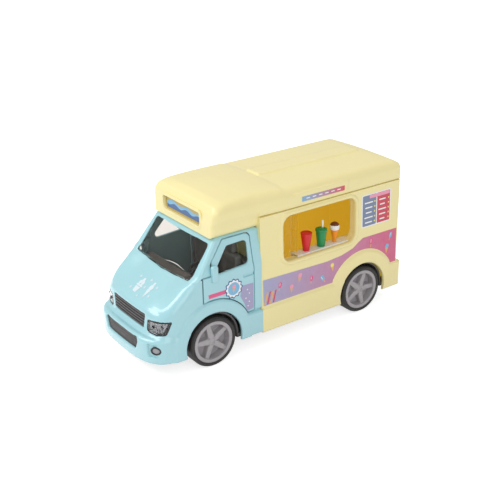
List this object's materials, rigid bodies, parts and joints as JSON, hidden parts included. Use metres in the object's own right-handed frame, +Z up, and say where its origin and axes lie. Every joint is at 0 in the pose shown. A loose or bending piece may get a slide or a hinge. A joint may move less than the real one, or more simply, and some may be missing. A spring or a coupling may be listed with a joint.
{
  "type": "toy ice cream van",
  "caption": "Pocket-size toy ice cream van with a box body, a serving hatch with treats, opening cab doors and free-rolling wheels.",
  "frame": {"origin": "on the floor, under the middle of the van's bounding box", "axes": "the nose points to -Y, the vehicle's left side with the serving hatch faces +X, +Z is up"},
  "size_m": [0.0606, 0.1516, 0.0796],
  "materials": {
    "cab_shell": "glossy moulded pale aqua",
    "box_shell": "semi-gloss moulded pale yellow",
    "dark_trim": "satin dark grey",
    "smoked_clear": "polished clear plastic",
    "clear": "polished clear plastic",
    "silver_paint": "bright silver",
    "sign_panel": "glossy printed panel, blank",
    "white_plastic": "glossy white",
    "red_plastic": "glossy red",
    "green_plastic": "glossy green",
    "orange_plastic": "glossy orange",
    "brown_plastic": "glossy dark brown",
    "steel": "drawn steel rod",
    "rim_plastic": "satin warm grey",
    "tyre_rubber": "matt charcoal"
  },
  "bodies": {
    "body": {"cab": "cab_shell", "windscreen": "smoked_clear", "headlight_lenses": "clear", "headlight_bowls": "silver_paint", "fog_lamps": "silver_paint", "upper_grille": "dark_trim", "lower_grille": "dark_trim", "dashboard": "dark_trim", "steering_wheel": "dark_trim", "seats": "dark_trim", "box_body": "box_shell", "roof": "box_shell", "roof_sign": "sign_panel", "serving_window": "clear", "serving_counter": "white_plastic", "red_cup": "red_plastic", "green_cup": "green_plastic", "straw": "white_plastic", "cone": "orange_plastic", "scoop": "white_plastic", "chocolate_cap": "brown_plastic", "tail_lamps": "red_plastic", "chassis": "dark_trim"},
    "left_door": {"left_door": "cab_shell"},
    "right_door": {"right_door": "cab_shell"},
    "front_wheelset": {"front_axle": "steel", "front_rims": "rim_plastic", "front_tyres": "tyre_rubber"},
    "rear_wheelset": {"rear_axle": "steel", "rear_rims": "rim_plastic", "rear_tyres": "tyre_rubber"}
  },
  "joints": [
    {"name": "left_door_hinge", "type": "hinge", "parent": "body", "child": "left_door", "pos_m": [0.0254, -0.0452, 0.0396], "axis": [0, 0, -1], "range_deg": [0, 60]},
    {"name": "right_door_hinge", "type": "hinge", "parent": "body", "child": "right_door", "pos_m": [-0.0254, -0.0452, 0.0396], "axis": [0, 0, 1], "range_deg": [0, 60]},
    {"name": "front_axle_spin", "type": "hinge", "parent": "body", "child": "front_wheelset", "pos_m": [0, -0.0422, 0.0124], "axis": [1, 0, 0], "continuous": true},
    {"name": "rear_axle_spin", "type": "hinge", "parent": "body", "child": "rear_wheelset", "pos_m": [0, 0.0488, 0.0124], "axis": [1, 0, 0], "continuous": true}
  ]
}
